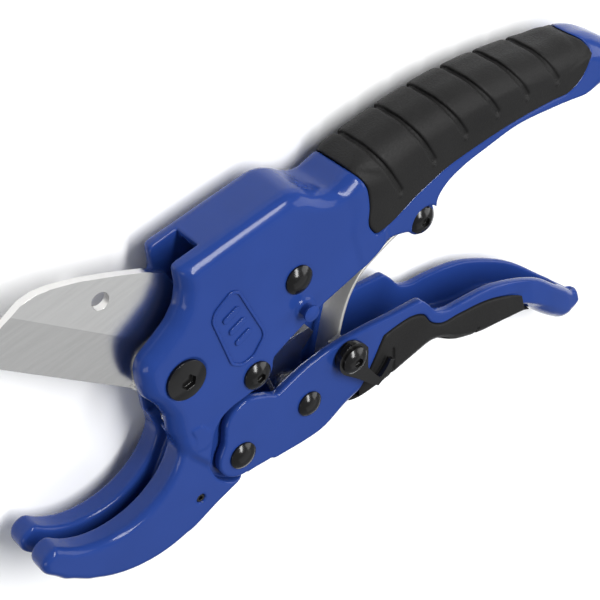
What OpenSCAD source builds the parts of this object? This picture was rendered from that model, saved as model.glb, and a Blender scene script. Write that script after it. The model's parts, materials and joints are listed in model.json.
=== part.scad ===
// Ratchet pipe cutter with a hooked jaw, a swinging blade and two handles.
// The tool lies on its side: X runs along the tool, Z is its thickness.
// The origin is the centre of the largest pipe that the jaw holds, half-way through the blade.

/* [Jaw] */
// Diameter of the largest pipe
pipe_d = 45; // [44:0.5:46]
// Gap between that pipe and the jaw
jaw_gap = 0.9; // [0.5:0.1:1.2]
// Width of the jaw across both prongs
jaw_w = 20; // [19:0.5:21]
// Width of the slot that the blade enters
slot_w = 4.2; // [3.6:0.2:4.6]

/* [Blade] */
// Thickness of the blade
blade_t = 2.5; // [2:0.1:3]
// Width of the ground bevel
bevel_w = 15; // [12:0.5:17]
// Thickness left at the cutting edge
edge_t = 0.3; // [0.2:0.1:0.5]
// Radius over the ratchet teeth
tooth_tip_r = 21; // [20:0.5:21.5]
// Depth of a ratchet tooth
tooth_depth = 2.1; // [1.5:0.1:2.5]
// Number of ratchet teeth
tooth_count = 22; // [18:1:22]

/* [Body] */
// Width of the housing
housing_w = 22; // [21:0.5:23]
// Width of the hollow between the two cheeks
hollow_w = 9.6; // [9:0.2:10]
// Width of the upper handle
upper_w = 20.8; // [20:0.2:22]
// Width of the lug inside the lower handle
lug_w = 14; // [13:0.2:14.2]

/* [Lower handle] */
// Width of the lower handle
handle_w = 21; // [20:0.5:22]
// Thickness of its side walls
wall_t = 3.2; // [2.8:0.1:3.2]
// Thickness of its floor
floor_t = 3; // [2.5:0.5:3.5]
// Thickness of the rubber on each side
grip_t = 1.4; // [1:0.1:1.6]

/* [Fasteners] */
// Radius of the blade's pivot screw
pivot_r = 4; // [3.5:0.1:4.5]
// Radius of the bush that the blade turns on
bush_r = 6; // [5.5:0.1:6.5]
// Radius of the handle rivet
handle_rivet_r = 3; // [2.5:0.1:3.2]
// Radius of the pawl rivets
pawl_rivet_r = 2.5; // [2:0.1:2.8]
// Radius of the small screws
screw_r = 2.2; // [2:0.1:2.5]
// Radial clearance of a running fit
fit_gap = 0.05; // [0.03:0.01:0.1]

/* [Hidden] */
$fn = 64;
far = 400;

// Axes of the pivots and fasteners, all along Z
blade_axis = [30, 12.5];
stop_axis = [50, -4.5];
hold_axis = [72.5, 16.5];
peg_axis = [71.2, 5.4];
handle_axis = [36.5, -29.5];
drive_axis = [62.5, -30.5];
latch_axis = [80, -24];
leaf_axis = [119, 0.5];
jaw_pin_axis = [19.5, -34];

seat_r = pipe_d / 2 + jaw_gap;
housing_z = housing_w / 2;
hollow_z = hollow_w / 2;
jaw_z = jaw_w / 2;
upper_z = upper_w / 2;
lug_z = lug_w / 2;
handle_z = handle_w / 2;
inner_z = handle_z - wall_t;
grip_bed_z = handle_z - grip_t;
upper_bed_z = 8.3;
pawl_t = 4.2;
pawl_z = pawl_t / 2;
drive_pawl_len = 40.15;
drive_pawl_angle = 106.45;
hold_pawl_len = 28.1;
hold_pawl_angle = 159;

// The blade points this way when it is fully open
blade_angle = 129;
// Distance of the cutting edge from the blade's axis
edge_y = 9.65;
bevel_start = 7;
washer_r = 10;
tooth_first = -112;
tooth_pitch = 7.2;
tooth_root_r = tooth_tip_r - tooth_depth;

// Outer curve of the jaw, and of the slot inside it
jaw_centre = [7.5, -6.8];
jaw_r = 37;
web_r = 33.4;
nub_centre = [-25.8, -16];
nub_r = 4.6;

// Lobe of the lower handle, which turns in a pocket of the body
lobe_centre = [42.5, -20];
lobe_r = 8.6;
lobe_hub_r = 8.2;
hub_gap = 1.6;
pocket_centre = [43.6, -26.4];
pocket_r = 17.4;
handle_swing = 21.5;
pocket_gap = 0.6;

// Latch: its hook follows an arc about the latch screw
latch_z = 11.9;
latch_t = 1.8;
latch_angle = -56;
hook_r = 16.5;
hook_w = 1.7;

paint = [0.14, 0.26, 0.58];
rubber = [0.2, 0.2, 0.2];
steel = [0.78, 0.78, 0.76];
black = [0.1, 0.1, 0.1];
brass = [0.75, 0.6, 0.3];

// ---- shared helpers ----

function polar(r, a) = [r * cos(a), r * sin(a)];

module at(p) {
    translate([p.x, p.y, 0])
        children();
}

function turned(p, a) = [p.x * cos(a) - p.y * sin(a), p.x * sin(a) + p.y * cos(a)];

module disc(p, r) {
    translate(p)
        circle(r = r);
}

// Extrudes a flat outline from height z0 to z1
module slab(z0, z1) {
    translate([0, 0, z0])
        linear_extrude(z1 - z0)
            children();
}

// Extrudes a flat outline to the same height on both sides of the middle
module plate(half) {
    slab(-half, half)
        children();
}

// Keeps only what lies outside the middle band, on both sides
module both_sides(z0, z1) {
    slab(z0, z1)
        children();
    slab(-z1, -z0)
        children();
}

module pin(p, r, z0, z1) {
    at(p)
        translate([0, 0, z0])
            cylinder(r = r, h = z1 - z0);
}

module ring(p, inner_r, outer_r, z0, z1) {
    difference() {
        pin(p, outer_r, z0, z1);
        pin(p, inner_r, z0 - 1, z1 + 1);
    }
}

// Round head on height z: a straight rim, then a low dome of height h
module round_head(p, r, z, rim = 0.6, h = 1.7) {
    ball_r = (r * r + h * h) / (2 * h);
    intersection() {
        pin(p, r, z, z + rim + 2 * h);
        at(p)
            translate([0, 0, z + rim + h - ball_r])
                sphere(r = ball_r, $fn = 96);
    }
}

// Button head with a hexagon socket
module socket_head(p, r, z, rim = 0.7, h = 1.7, socket = 1.7) {
    difference() {
        round_head(p, r, z, rim, h);
        at(p)
            translate([0, 0, z + 0.8])
                cylinder(r = socket, h = far, $fn = 6);
    }
}

module hex_nut(p, r, bore, z0, z1) {
    difference() {
        at(p)
            translate([0, 0, z0])
                cylinder(r = r, h = z1 - z0, $fn = 6);
        pin(p, bore, z0 - 1, z1 + 1);
    }
}

module far_side() {
    mirror([0, 0, 1])
        children();
}

// ---- outlines of the main casting ----

module housing_outline() {
    polygon([
        [30, -30], [44, -24], [45, -12], [51, -10.4], [55, -7.6], [57, -3.6], [63.2, -2],
        [77.3, 1.1], [92, 2.3], [104, 4.8], [104, 33], [99, 33], [92.5, 33.6], [87.8, 36.5],
        [83.2, 42], [79.5, 44], [41, 46], [39.6, 39], [37.2, 34.5], [33, 31], [27.6, 28.7],
        [21.5, 26.4], [19.2, 23.5], [18, 18.5], [17.8, 13.5], [20.2, 7.6], [21.3, 1.8], [20, -5.5],
        [21, -10]
    ]);
    disc(stop_axis, 5.6);
}

// The front and the top of the housing step back towards its two faces
module stepped_outline(back) {
    intersection() {
        housing_outline();
        translate([back, -back])
            housing_outline();
    }
}

module upper_outline() {
    polygon([
        [98, 3], [106, 4.8], [110.8, 2.6], [114.5, 1], [123, 3], [126.4, 6.5], [129.8, 8.3],
        [136.4, 9.6], [146.8, 9.6], [158.8, 9], [174.7, 4.9], [193.3, -1.7], [198, -3.4],
        [202.5, -4], [206, -1.5], [206.8, 3], [205, 7.6], [201, 12.6], [196, 17], [190, 20.2],
        [188, 17.6], [180, 20.4], [169.6, 24.3], [157.9, 28], [145.8, 30.8], [133.6, 32.8],
        [121.7, 33.8], [104, 34.2], [98, 33]
    ]);
    disc(leaf_axis, 5.3);
}

module upper_grip_outline() {
    polygon([
        [102, 31], [101.5, 22], [99.5, 15.5], [101, 10.8], [105, 10.6], [119, 13], [130.3, 14.2],
        [142.5, 13.5], [158, 11.7], [174.3, 8.4], [181, 6.8], [187, 8.7], [192.5, 14.5],
        [192.3, 17], [189.5, 20.2], [180, 23.8], [169.6, 27.5], [157.9, 31.2], [145.8, 34.1],
        [133.6, 36.1], [121.7, 37.2], [108, 37.4], [100, 35.8]
    ]);
}

// The grip's outline with its crown moved down, for the steps towards its two sides
module lowered_grip_outline(down) {
    intersection() {
        upper_grip_outline();
        translate([0, -down])
            upper_grip_outline();
        translate([down * 0.6, 0])
            upper_grip_outline();
    }
}

module jaw_outline() {
    difference() {
        union() {
            intersection() {
                disc(jaw_centre, jaw_r);
                polygon([[-60, -80], [60, -80], [60, -9], [21, -9], [-26, -16], [-60, -22]]);
            }
            hull() {
                disc(nub_centre, nub_r);
                disc(nub_centre + [2, 0.3], nub_r);
                disc(nub_centre + [3.4, -5.6], nub_r);
                disc(nub_centre + [8.3, -11.5], nub_r);
            }
            polygon([[12, -43.5], [22, -41.8], [31.7, -40.4], [44, -37], [46, -24], [20, -9]]);
        }
        disc([0, 0], seat_r);
        disc([-3, 0], seat_r + 0.2);
    }
}

module lug_outline() {
    disc(handle_axis, lobe_hub_r - 0.3);
    polygon([[20, -38], [30, -40], [46, -27], [46, -10], [22, -10]]);
}

module lobe_outline() {
    disc(handle_axis, lobe_hub_r);
    disc(lobe_centre, lobe_r);
    polygon([[44, -36], [50, -20], [42, -19], [33.9, -19], [28.8, -29]]);
    polygon([
        [36, -38], [60, -44], [66, -18], [59.4, -19.2], [54.4, -18.9], [51, -15.6], [44, -12]
    ]);
}

// Room for the lobe over the whole swing of the lower handle
module pocket_outline() {
    reach = norm(lobe_centre - handle_axis) + lobe_r + pocket_gap;
    start = atan2(lobe_centre.y - handle_axis.y, lobe_centre.x - handle_axis.x);
    side = [lobe_centre, handle_axis + turned(lobe_centre - handle_axis, handle_swing)];
    disc(handle_axis, lobe_hub_r + hub_gap);
    disc(side[0], lobe_r + pocket_gap);
    disc(side[1], lobe_r + pocket_gap);
    intersection() {
        disc(handle_axis, reach);
        polygon([
            handle_axis, handle_axis + polar(40, start), handle_axis + polar(40, start + handle_swing)
        ]);
    }
    intersection() {
        disc(pocket_centre, pocket_r);
        polygon([[20, -33], [40, -33], [40, 0], [20, 0]]);
    }
    polygon([
        [36, -39], [70, -42], [70, -12], [58, -9], [50, -9.6], [41, -9.2],
        handle_axis + polar(18, start + handle_swing + 20), [26.3, -26.5]
    ]);
}

// Space between the cheeks, open to the front, the top and below
module hollow_outline() {
    polygon([
        [12, -4], [41, -6], [47.8, -14], [56, -30], [130, -20], [188, -15], [190, 7], [184, 16],
        [168, 23], [148, 29.5], [128, 32], [103, 29], [90, 29.5], [84, 37], [78, 40], [50.5, 41.5],
        [50.5, 60], [0, 60]
    ]);
}

// Slot for the blade, down to where its edge stops
module slot_outline() {
    intersection() {
        union() {
            disc(jaw_centre, web_r);
            disc(nub_centre + [-1, 0], 11);
        }
        polygon([[-60, -21], [-24, -29], [-2, -40], [8, -31], [36, -1], [36, 40], [-60, 40]]);
    }
    disc(blade_axis, tooth_tip_r + 1.2);
}

// Raised plain badge: a thin frame round three bars
module emblem_outline() {
    difference() {
        polygon([
            [43.6, 5.6], [46.6, 2.4], [51.6, 2.4], [57, 6.6], [57.4, 9.4], [54.6, 28], [52, 30], [45, 27.4], [43, 24.6]
        ]);
        polygon([
            [44.4, 5.9], [46.9, 3.2], [51.4, 3.2], [56.2, 7], [56.6, 9.4], [53.9, 27.5], [51.9, 29.1], [45.6, 26.8], [43.8, 24.4]
        ]);
    }
    for (step = [0 : 2])
        translate([46.4 + step * 0.5, 20.5 - step * 5])
            rotate(12)
                square([5.6, 1.6]);
}

module main_casting() {
    color(paint)
        difference() {
            union() {
                plate(housing_z - 4.2)
                    housing_outline();
                both_sides(housing_z - 4.3, housing_z - 2.3)
                    stepped_outline(0.8);
                both_sides(housing_z - 2.4, housing_z - 0.9)
                    stepped_outline(2);
                both_sides(housing_z - 1, housing_z)
                    stepped_outline(3.8);
                plate(upper_z)
                    upper_outline();
                plate(jaw_z)
                    jaw_outline();
                plate(lug_z)
                    lug_outline();
                slab(housing_z - 0.5, housing_z + 0.4)
                    emblem_outline();
            }
            both_sides(lug_z, far)
                pocket_outline();
            both_sides(upper_bed_z, far)
                upper_grip_outline();
            both_sides(housing_z - 3, far)
                disc(leaf_axis, 5.6);
            plate(hollow_z)
                hollow_outline();
            plate(slot_w / 2)
                slot_outline();
            pin(blade_axis, pivot_r, -far, far);
            pin(blade_axis, 6.8, housing_z - 0.5, far);
            pin(handle_axis, handle_rivet_r + fit_gap, -far, far);
            pin(stop_axis, screw_r, -far, far);
            pin(hold_axis, pawl_rivet_r, -far, far);
            pin(leaf_axis, screw_r, -far, far);
            pin(peg_axis, 1.9, housing_z - 4, far);
            pin(jaw_pin_axis, 1.3, -far, far);
        }
}

module upper_grip() {
    color(rubber)
        difference() {
            union() {
                plate(upper_z - 3.6)
                    upper_grip_outline();
                both_sides(upper_z - 3.7, upper_z - 1.4)
                    lowered_grip_outline(1.2);
                both_sides(upper_z - 1.5, upper_z + 0.5)
                    lowered_grip_outline(3);
            }
            plate(upper_bed_z)
                difference() {
                    upper_outline();
                    disc(leaf_axis, 6);
                }
            plate(upper_bed_z)
                housing_outline();
        }
}

// ---- blade ----

module blade_outline() {
    rotate(blade_angle)
        polygon([
            [0, 5], [0, -10], [8, -22], [15, -25.6], [21.8, -24.7], [30.6, -22.1], [42, -18.3],
            [49.6, -14.8], [53.4, -12.4], [56.3, -9.2], [59, -2.5], [60.2, 3], [59.4, 7.5],
            [57, edge_y], [5, edge_y]
        ]);
    circle(r = edge_y - 0.2);
    tooth_outline();
    polygon([[0, 0], polar(17, 160), [-7, -4], [-8, -8], polar(tooth_root_r, tooth_first)]);
}

// Saw teeth: each steep face looks back towards the first tooth
module tooth_outline() {
    last = tooth_first + tooth_count * tooth_pitch;
    teeth = [
        for (i = [0 : tooth_count - 1])
            each [
                polar(tooth_root_r, tooth_first + i * tooth_pitch),
                polar(tooth_tip_r, tooth_first + i * tooth_pitch + 0.8),
                polar(tooth_tip_r - 0.2, tooth_first + i * tooth_pitch + 2)
            ]
    ];
    polygon(concat([[0, 0]], teeth, [polar(tooth_root_r, last)]));
}

// Cuts one side of the blade down to the thin edge, from just inside the housing to the tip
module bevel_cut() {
    slope = atan((blade_t - edge_t) / 2 / bevel_w);
    rotate(blade_angle)
        translate([bevel_start, edge_y - bevel_w, blade_t / 2])
            rotate([-slope, 0, 0])
                cube([far, far, blade_t]);
}

module blade() {
    color(steel)
        at(blade_axis)
            difference() {
                plate(blade_t / 2)
                    blade_outline();
                difference() {
                    union() {
                        bevel_cut();
                        far_side()
                            bevel_cut();
                    }
                    cylinder(r = washer_r + 0.5, h = far, center = true);
                }
                cylinder(r = bush_r + fit_gap, h = far, center = true);
                rotate(blade_angle)
                    translate([32.4, -14.2, 0])
                        cylinder(r = 2.75, h = far, center = true);
            }
}

module blade_bush() {
    color(brass)
        ring(blade_axis, pivot_r, bush_r, -hollow_z, hollow_z);
}

module blade_washers() {
    color(brass) {
        ring(blade_axis, bush_r, 7.8, blade_t / 2 + fit_gap, hollow_z);
        far_side()
            ring(blade_axis, bush_r, washer_r, blade_t / 2 + fit_gap, hollow_z);
    }
}

module blade_pivot_screw() {
    color(black) {
        pin(blade_axis, pivot_r, -housing_z - 0.8, housing_z - 0.5);
        difference() {
            round_head(blade_axis, 6.4, housing_z - 0.5, 1, 1);
            at(blade_axis)
                translate([0, 0, housing_z - 0.2])
                    cylinder(r = 2.6, h = far, $fn = 6);
        }
    }
}

module blade_pivot_nut() {
    color(black)
        far_side()
            difference() {
                union() {
                    pin(blade_axis, 6.4, housing_z, housing_z + 0.7);
                    pin(blade_axis, 5.6, housing_z + 0.7, housing_z + 1.8);
                }
                pin(blade_axis, pivot_r, 0, housing_z + 0.8);
                at(blade_axis)
                    translate([0, 0, housing_z + 1.5])
                        cube([far, 1.4, 1.4], center = true);
            }
}

// Coil round the near washer, with one leg that pushes on the casting
module blade_return_spring() {
    color(steel) {
        ring(blade_axis, 8.2, 9.4, blade_t / 2 + 0.35, hollow_z - 0.15);
        at(blade_axis)
            translate([8.3, -1, 2])
                rotate(20)
                    cube([12, 1.1, 1.1]);
    }
}

// ---- lower handle ----

module handle_outline() {
    lobe_outline();
    disc([175.2, -91.2], 5);
    polygon([
        [45, -20], [45, -41.2], [62, -44.8], [76, -44.8], [88, -46], [109, -46.2], [119, -54.2],
        [130, -60], [142, -63.6], [149, -67.4], [153.4, -72.6], [158.4, -80.6], [163.6, -88],
        [169, -94], [172.6, -95.6], [180.2, -92.4], [174.4, -83.6], [167, -73], [158.2, -61],
        [148.6, -52.2], [137.8, -45], [125.5, -40.6], [118.2, -38.4], [114.6, -35.4], [112.6, -30.8],
        [110.2, -26.6], [107.5, -25.9], [66.4, -16.9]
    ]);
}

// A handle outline with its lower edge moved up, for the steps towards its two faces
module raised(up) {
    intersection() {
        children();
        union() {
            translate([up * 0.3, up])
                children();
            translate([20, -45.2 + up * 0.25])
                square([48, 40]);
        }
    }
}

// Inside of the channel: open along the rim and at the end that takes the casting's lug
module channel_outline() {
    polygon([
        [20, -60], [56, -60], [56, -41.8], [76.3, -41.8], [88.4, -43], [110.2, -43.2],
        [120.7, -51.2], [131.4, -57], [143, -60.6], [151.3, -65.6], [156, -71], [161, -79],
        [166, -86], [171, -91], [175, -91], [190, -70], [150, -20], [112, -10], [64, 10], [20, 10]
    ]);
}

module lower_grip_outline() {
    polygon([
        [90, -48.4], [103.1, -48.2], [110.4, -48.4], [119.4, -56.2], [125.2, -59.6], [131.3, -62.6],
        [141.8, -66.2], [149.2, -70], [153, -73.2], [158.4, -81.2], [158.6, -70.4], [153.8, -63.6],
        [143.4, -54.4], [132.8, -47.9], [122, -44], [115, -42], [111.6, -38.4], [109.6, -33],
        [106.6, -30.6], [99, -28.8], [94, -28.6], [88.8, -34], [79, -43.2], [75, -46.7]
    ]);
}

// Plan of the lower handle: parallel sides that close to a round tip
module handle_plan() {
    polygon([
        [0, -handle_z], [126, -handle_z], [142, -9.8], [154, -8.4], [164, -6.4], [172, -4.4],
        [178, -2.4], [180.6, 0], [178, 2.4], [172, 4.4], [164, 6.4], [154, 8.4], [142, 9.8],
        [126, handle_z], [0, handle_z]
    ]);
}

module plan_limit() {
    rotate([90, 0, 0])
        linear_extrude(far, center = true)
            handle_plan();
}

module channel_plan() {
    rotate([90, 0, 0])
        linear_extrude(far, center = true)
            polygon([
                [0, -inner_z], [126, -inner_z], [142, -6.8], [154, -5.6], [164, -3.8], [169, -2.4],
                [170.5, 0], [169, 2.4], [164, 3.8], [154, 5.6], [142, 6.8], [126, inner_z],
                [0, inner_z]
            ]);
}

module lower_handle() {
    color(paint)
        difference() {
            intersection() {
                union() {
                    plate(handle_z - 4)
                        handle_outline();
                    both_sides(handle_z - 4.1, handle_z - 2)
                        raised(1.6)
                            handle_outline();
                    both_sides(handle_z - 2.1, handle_z)
                        raised(3.6)
                            handle_outline();
                }
                plan_limit();
            }
            intersection() {
                plate(inner_z)
                    channel_outline();
                channel_plan();
            }
            both_sides(grip_bed_z, far)
                lower_grip_outline();
            pin(handle_axis, handle_rivet_r, -far, far);
            pin(drive_axis, pawl_rivet_r, -far, far);
            pin(latch_axis, screw_r, 0, far);
        }
}

module lower_grip() {
    color(rubber)
        difference() {
            intersection() {
                union() {
                    plate(handle_z - 3.7)
                        lower_grip_outline();
                    both_sides(handle_z - 3.8, handle_z - 1.7)
                        raised(1.8)
                            lower_grip_outline();
                    both_sides(handle_z - 1.8, handle_z + 0.3)
                        raised(4.2)
                            lower_grip_outline();
                }
                union() {
                    plan_limit();
                    translate([0, -far, -far])
                        cube([130, far, 2 * far]);
                }
            }
            plate(grip_bed_z)
                handle_outline();
        }
}

module handle_rivet() {
    color(black) {
        pin(handle_axis, handle_rivet_r, -handle_z, handle_z);
        round_head(handle_axis, 4.5, handle_z);
        far_side()
            round_head(handle_axis, 4.5, handle_z);
    }
}

// ---- drive pawl, on the lower handle ----

module drive_pawl_outline() {
    circle(r = 5);
    polygon([
        [0, -5], [8.5, -10], [10.4, -17], [13.4, -16.8], [17.4, -9], [24, -7.2], [33, -6.2],
        [drive_pawl_len - 1.6, -3.2], [drive_pawl_len, 0], [36, 0], [31, -0.2], [24, 0.2],
        [16, 1.6], [2, 4.4]
    ]);
}

module drive_pawl() {
    color(steel)
        at(drive_axis)
            difference() {
                rotate(drive_pawl_angle)
                    plate(pawl_z)
                        drive_pawl_outline();
                cylinder(r = pawl_rivet_r + fit_gap, h = far, center = true);
            }
}

module drive_pawl_rivet() {
    color(black) {
        pin(drive_axis, pawl_rivet_r, -handle_z, handle_z);
        round_head(drive_axis, 4.2, handle_z);
        far_side()
            round_head(drive_axis, 4.2, handle_z);
    }
}

module drive_pawl_spacers() {
    color(steel) {
        ring(drive_axis, pawl_rivet_r, 3.6, pawl_z + fit_gap, inner_z);
        far_side()
            ring(drive_axis, pawl_rivet_r, 3.6, pawl_z + fit_gap, inner_z);
    }
}

// Coil round the near spacer, with a leg that reaches along the channel's floor
module drive_pawl_spring() {
    color(steel) {
        ring(drive_axis, 3.9, 4.9, pawl_z + 0.4, 6.4);
        at(drive_axis)
            translate([0, -4.9, 4.6])
                rotate(-26)
                    cube([14.5, 1, 1]);
    }
}

// ---- hold pawl, in the housing ----

module hold_pawl_outline() {
    circle(r = 4.6);
    polygon([
        [0, -4.6], [16, -3.2], [24.5, -0.8], [hold_pawl_len, -0.6], [hold_pawl_len, 0.6], [22, 3.6],
        [14, 4.2], [0, 4.6]
    ]);
}

module hold_pawl() {
    color(steel)
        at(hold_axis)
            difference() {
                rotate(hold_pawl_angle)
                    mirror([0, 1])
                        plate(pawl_z)
                            hold_pawl_outline();
                cylinder(r = pawl_rivet_r + fit_gap, h = far, center = true);
            }
}

module hold_pawl_rivet() {
    color(black) {
        pin(hold_axis, pawl_rivet_r, -housing_z, housing_z);
        round_head(hold_axis, 4.6, housing_z);
        far_side()
            round_head(hold_axis, 4.6, housing_z);
    }
}

module hold_pawl_spacers() {
    color(steel) {
        ring(hold_axis, pawl_rivet_r, 3.4, pawl_z + fit_gap, hollow_z);
        far_side()
            ring(hold_axis, pawl_rivet_r, 3.4, pawl_z + fit_gap, hollow_z);
    }
}

// Coil round the near spacer, with a leg that rests under the housing's top
module hold_pawl_spring() {
    color(steel) {
        ring(hold_axis, 3.6, 4.5, pawl_z + 0.35, hollow_z - 0.2);
        at(hold_axis)
            translate([-4.5, 0, 2.9])
                cube([0.9, 23.5, 0.9]);
    }
}

// ---- stop screw between the cheeks ----

module stop_screw() {
    color(black) {
        pin(stop_axis, screw_r, -housing_z - 3, housing_z);
        socket_head(stop_axis, 4.6, housing_z);
    }
}

module stop_sleeve() {
    color(steel)
        ring(stop_axis, screw_r, 3.2, -hollow_z, hollow_z);
}

module stop_nut() {
    color(black)
        far_side()
            hex_nut(stop_axis, 4.4, screw_r, housing_z, housing_z + 2.6);
}

// ---- leaf spring that opens the handles ----

leaf_t = 1;
leaf_z = 4.3;
leaf_path = [
    [116.6, -2.3], [112, -2.2], [104, -3.6], [96, -6], [91, -9.6], [86.5, -15], [82, -22.5],
    [78, -30], [74.8, -36], [73.2, -39.2]
];

module leaf_spring() {
    color(steel) {
        ring(leaf_axis, screw_r, 3.4, -leaf_z, leaf_z);
        plate(leaf_z)
            difference() {
                for (i = [0 : len(leaf_path) - 2])
                    polygon(strip(leaf_path[i], leaf_path[i + 1]));
                disc(leaf_axis, 3.4);
            }
    }
}

// Four corners of a short straight stretch of the leaf, a little longer than its two ends
function strip(p, q) =
    let (along = (q - p) / norm(q - p), side = [-along.y, along.x] * leaf_t / 2, more = along * 0.25)
    [p - side - more, q - side + more, q + side + more, p + side - more];

module leaf_screw() {
    color(black) {
        pin(leaf_axis, screw_r, -housing_z + 0.6, housing_z - 3);
        socket_head(leaf_axis, 4.5, housing_z - 3);
    }
}

module leaf_nut() {
    color(black)
        far_side()
            hex_nut(leaf_axis, 4.3, screw_r, housing_z - 3, housing_z - 0.6);
}

// ---- latch on the lower handle, and the peg that it hooks ----

module latch_outline() {
    circle(r = 5.6);
    polygon([[0, -5.6], [6, -5.4], [14.5, -5.8], polar(hook_r + hook_w, -17), [16.6, -3], [14, -2.6], [8, -1], [3, 5]]);
    intersection() {
        difference() {
            circle(r = hook_r + hook_w);
            circle(r = hook_r);
        }
        polygon([[0, 0], polar(30, -18), polar(30, 13)]);
    }
}

module latch() {
    color(black)
        at(latch_axis)
            difference() {
                rotate(latch_angle)
                    slab(latch_z, latch_z + latch_t)
                        latch_outline();
                cylinder(r = screw_r + 1 + fit_gap, h = far, center = true);
            }
}

module latch_collar() {
    color(black)
        difference() {
            union() {
                pin(latch_axis, 5, handle_z, latch_z - 0.1);
                pin(latch_axis, screw_r + 1, handle_z, latch_z + latch_t + 0.1);
            }
            pin(latch_axis, screw_r, 0, far);
        }
}

module latch_screw() {
    color(black) {
        pin(latch_axis, screw_r, 4.7, latch_z + latch_t + 0.1);
        socket_head(latch_axis, 4.5, latch_z + latch_t + 0.1);
    }
}

module latch_nut() {
    color(steel)
        hex_nut(latch_axis, 4.2, screw_r, 4.8, inner_z);
}

module latch_peg() {
    color(paint) {
        pin(peg_axis, 1.9, housing_z - 4, latch_z + latch_t + 0.3);
        round_head(peg_axis, 2.6, latch_z + latch_t + 0.3, 0.7, 0.5);
    }
}

module jaw_pin() {
    color(black)
        ring(jaw_pin_axis, 0.7, 1.3, -jaw_z + 0.5, jaw_z - 0.5);
}

main_casting();
upper_grip();
blade();
blade_bush();
blade_washers();
blade_pivot_screw();
blade_pivot_nut();
blade_return_spring();
lower_handle();
lower_grip();
handle_rivet();
drive_pawl();
drive_pawl_rivet();
drive_pawl_spacers();
drive_pawl_spring();
hold_pawl();
hold_pawl_rivet();
hold_pawl_spacers();
hold_pawl_spring();
stop_screw();
stop_sleeve();
stop_nut();
leaf_spring();
leaf_screw();
leaf_nut();
latch();
latch_collar();
latch_screw();
latch_nut();
latch_peg();
jaw_pin();
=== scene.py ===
"""Looks for the ratchet pipe cutter: cast body, handles, rubber grips, springs, finishes and a small studio.

Shapes are worked out in millimetres, in the frame of the CAD model, and scaled to metres when a mesh is made.
The cast and moulded pieces are signed-distance shapes: their edges are rounded and run into each other.
"""

import json
import math

import bpy
import numpy as np
from mathutils import Euler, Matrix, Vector


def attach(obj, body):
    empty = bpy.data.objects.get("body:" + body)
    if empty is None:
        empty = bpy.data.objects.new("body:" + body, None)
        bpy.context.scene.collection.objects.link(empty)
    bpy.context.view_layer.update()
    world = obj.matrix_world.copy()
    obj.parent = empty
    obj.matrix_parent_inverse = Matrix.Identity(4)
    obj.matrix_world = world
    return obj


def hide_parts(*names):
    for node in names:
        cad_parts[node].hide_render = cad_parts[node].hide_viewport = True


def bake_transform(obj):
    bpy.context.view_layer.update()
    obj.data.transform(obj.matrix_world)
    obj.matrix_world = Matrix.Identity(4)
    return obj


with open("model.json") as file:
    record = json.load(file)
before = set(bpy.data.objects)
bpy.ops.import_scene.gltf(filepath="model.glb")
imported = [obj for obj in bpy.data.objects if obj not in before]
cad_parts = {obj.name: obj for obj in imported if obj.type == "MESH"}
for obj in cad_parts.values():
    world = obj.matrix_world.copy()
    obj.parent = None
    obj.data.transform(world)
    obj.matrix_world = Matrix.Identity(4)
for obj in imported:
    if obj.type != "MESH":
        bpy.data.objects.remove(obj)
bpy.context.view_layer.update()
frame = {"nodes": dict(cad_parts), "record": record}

MM = 0.001
STEP_SCALE = 1.0

# Axes of the pivots, in the XY plane
BLADE_AXIS = (30, 12.5)
STOP_AXIS = (50, -4.5)
HOLD_AXIS = (72.5, 16.5)
HANDLE_AXIS = (36.5, -29.5)
DRIVE_AXIS = (62.5, -30.5)
LATCH_AXIS = (80, -24)
LEAF_AXIS = (119, 0.5)
PEG_AXIS = (71.2, 5.4)
JAW_PIN_AXIS = (19.5, -34)

# Bores, counterbore and bosses round those axes
BLADE_BORE_R = 4
HANDLE_BORE_R = 3
PAWL_BORE_R = 2.5
SCREW_BORE_R = 2.2
JAW_PIN_BORE_R = 1.5
COUNTERBORE_R = 6.8
COUNTERBORE_DEPTH = 0.5
STOP_BOSS_R = 5.6
LEAF_BOSS_R = 5.3
LEAF_BAY_R = 5.6
LEAF_BAY_Z = 8
PEG_COLLAR_R = 3.1

# Half thicknesses along Z
HOUSING_Z = 11
UPPER_Z = 10.4
JAW_Z = 10
LUG_Z = 7
HANDLE_Z = 10.5
INNER_Z = 7.3
HOLLOW_Z = 4.8
SLOT_Z = 2.1
GRIP_BED_Z = 9.1
UPPER_BED_Z = 8.3

# Jaw: seat for the pipe, outer curve, web at the bottom of the slot, and the blunt nose as a chain of discs
SEAT_R = 23.4
JAW_CENTRE = (7.5, -6.8)
JAW_R = 37
WEB_R = 33.4
NUB = ((-25.8, -16), (-22.4, -21.6), (-17.5, -27.5))
NUB_R = 4.6
TOOTH_TIP_R = 21

# Lobe of the lower handle, and the pocket that it swings in
LOBE_CENTRE = (42.5, -20)
LOBE_R = 8.6
HUB_R = 8.2
HUB_GAP = 1.6
POCKET_CENTRE = (43.6, -26.4)
POCKET_R = 17.4
POCKET_GAP = 0.6
SWING = 21.5

# Round end of the lower handle
HANDLE_TIP = (175.2, -91.2)
HANDLE_TIP_R = 5


# ---- signed distances on a block of samples ----

CELL_CORNERS = [(i, j, k) for i in (0, 1) for j in (0, 1) for k in (0, 1)]


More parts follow.
